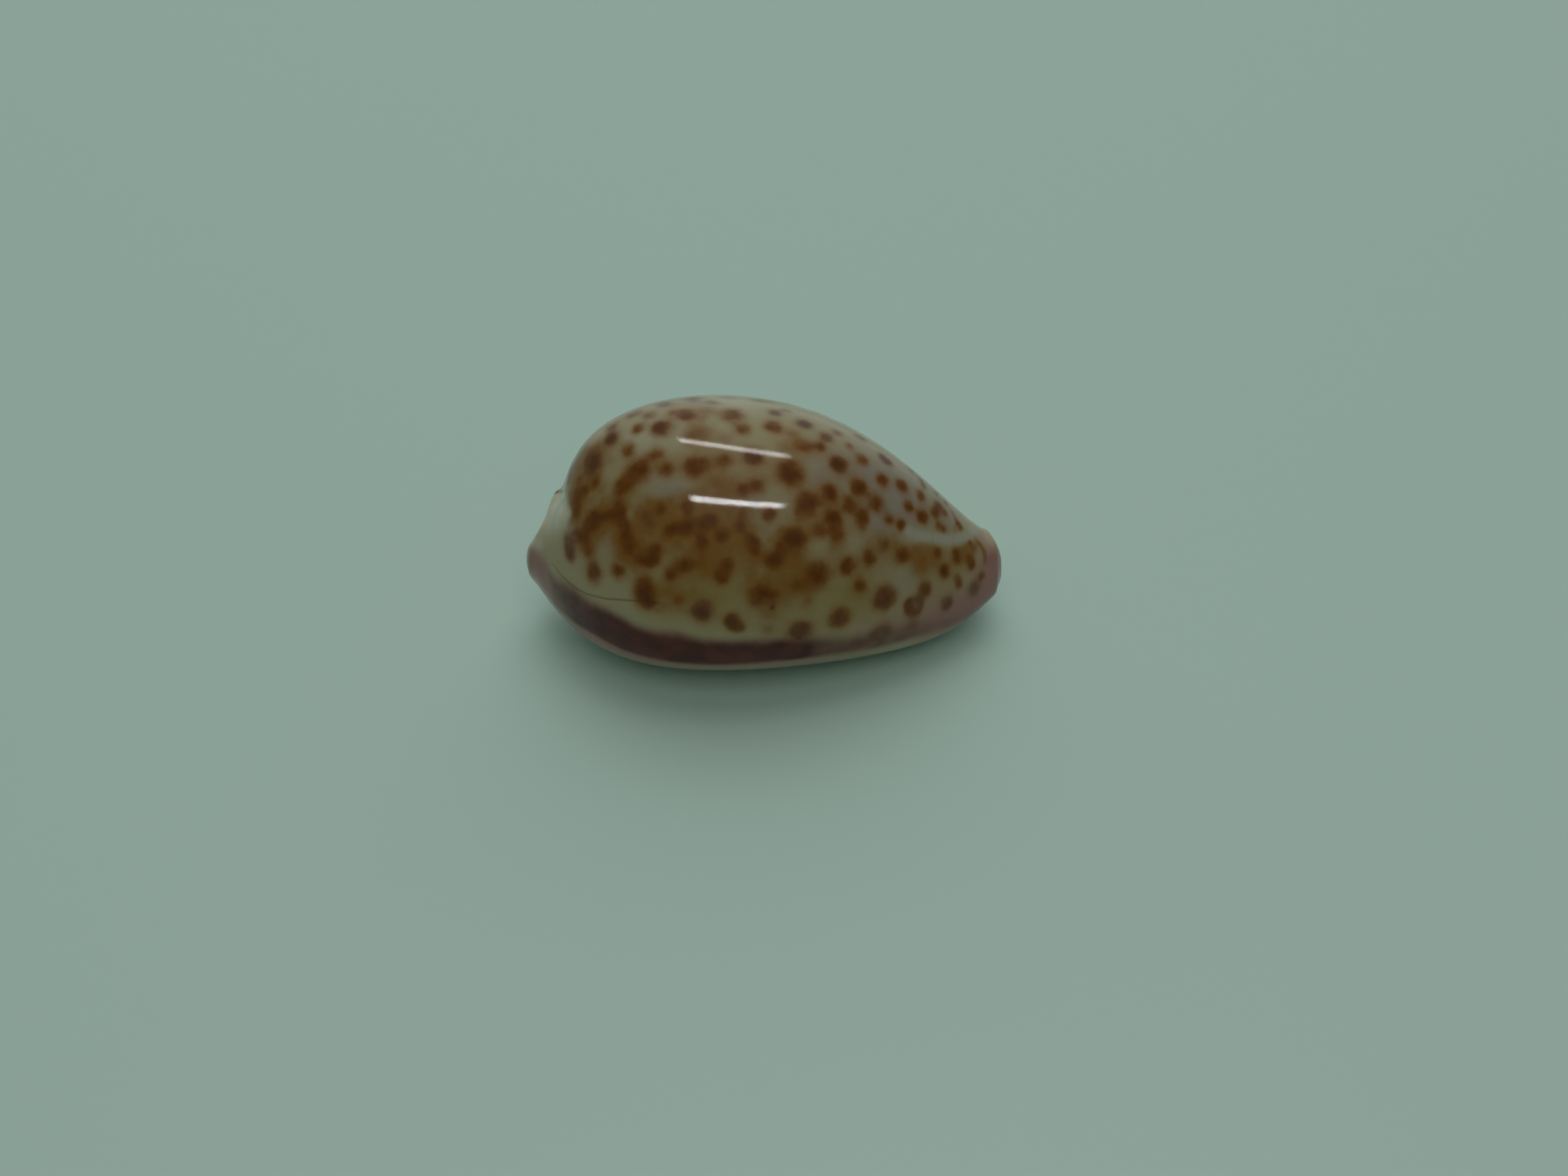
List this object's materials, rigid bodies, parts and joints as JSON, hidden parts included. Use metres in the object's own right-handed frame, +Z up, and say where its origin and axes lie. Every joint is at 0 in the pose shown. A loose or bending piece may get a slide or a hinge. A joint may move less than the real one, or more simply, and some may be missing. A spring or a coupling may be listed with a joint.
{
  "type": "cowrie seashell",
  "caption": "Small glossy egg-shaped cowrie seashell with a hollow inside, a toothed slot along its flattened underside and a short notched canal at each end.",
  "frame": {"origin": "on the ground, under the middle of the shell's length and width", "axes": "+X toward the front canal, along the slot; +Y toward the columella side, away from the outer lip; +Z up over the dome"},
  "size_m": [0.0224, 0.0132, 0.0111],
  "materials": {
    "polished_shell": "glossy natural shell enamel, pale ground with brown spots and lilac-brown margins"
  },
  "bodies": {
    "root": {"shell": "polished_shell"}
  },
  "joints": []
}
